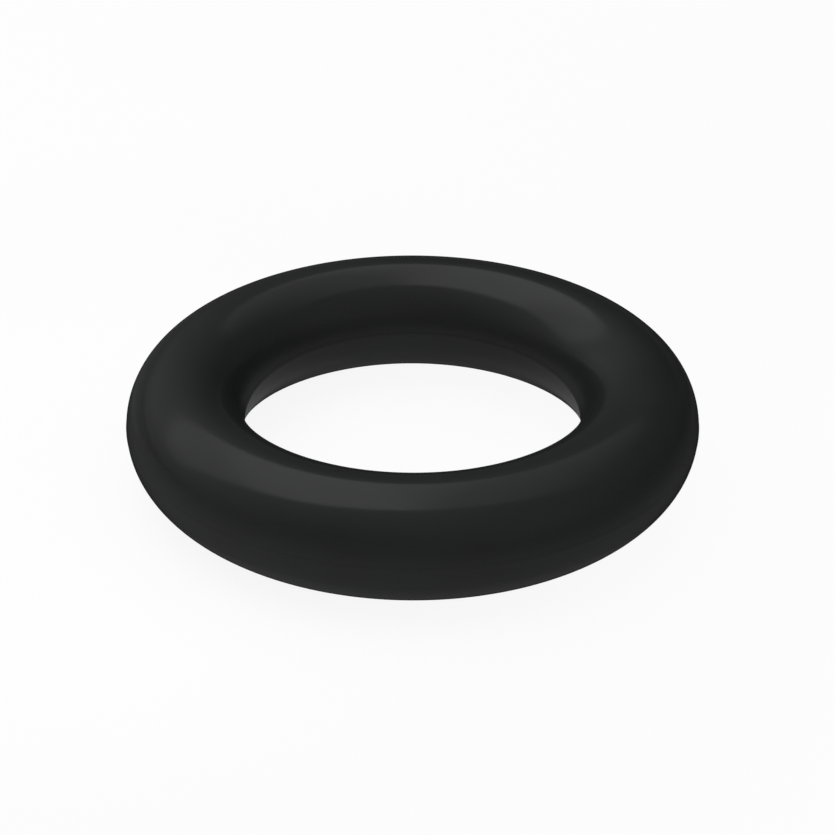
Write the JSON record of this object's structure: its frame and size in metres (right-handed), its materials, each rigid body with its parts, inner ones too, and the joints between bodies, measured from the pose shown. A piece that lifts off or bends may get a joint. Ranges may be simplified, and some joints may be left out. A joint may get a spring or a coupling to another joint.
{
  "type": "rubber o-ring",
  "caption": "Round-section rubber sealing ring moulded in one piece, which seats in a groove and seals a shaft, a bore or a flat face.",
  "frame": {"origin": "centre of the ring, on the plane where the mould's two halves met, halfway up the section", "axes": "+Z along the ring's axis, which is vertical as the ring lies flat; X and Y lie in the ring's middle plane and are alike"},
  "size_m": [0.026, 0.026, 0.0054],
  "materials": {
    "black_rubber": "satin"
  },
  "bodies": {
    "root": {"o_ring": "black_rubber"}
  },
  "joints": []
}
